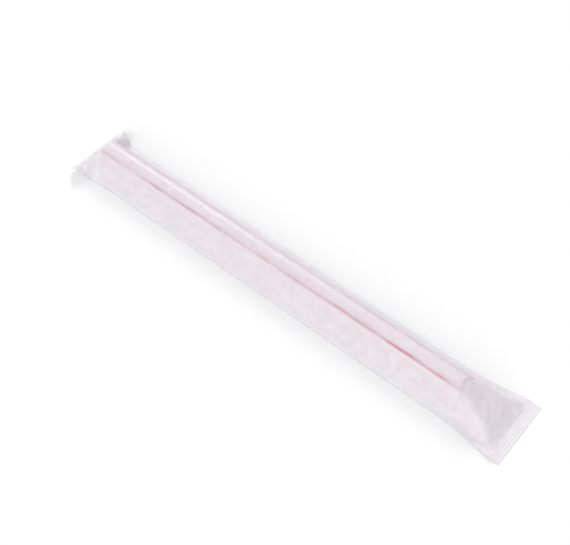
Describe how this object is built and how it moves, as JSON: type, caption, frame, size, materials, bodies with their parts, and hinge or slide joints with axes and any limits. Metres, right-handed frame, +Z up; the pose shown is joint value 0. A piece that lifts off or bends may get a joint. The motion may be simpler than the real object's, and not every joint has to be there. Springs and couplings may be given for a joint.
{
  "type": "wrapped drinking straw",
  "caption": "Jumbo drinking straw with a slanted tip, sealed in a translucent paper sleeve that is drawn over it and pressed flat at both ends.",
  "frame": {"origin": "on the table under the middle of the sleeve, at the centre of the bottom of its box", "axes": "+X along the straw to its slanted tip, +Y across the sleeve, +Z up"},
  "size_m": [0.24, 0.032, 0.0125],
  "materials": {
    "straw_plastic": "smooth pink extruded polypropylene, slightly translucent",
    "sleeve_paper": "thin milky translucent paper with a soft sheen"
  },
  "bodies": {
    "root": {"straw": "straw_plastic", "wrapper": "sleeve_paper"}
  },
  "joints": []
}
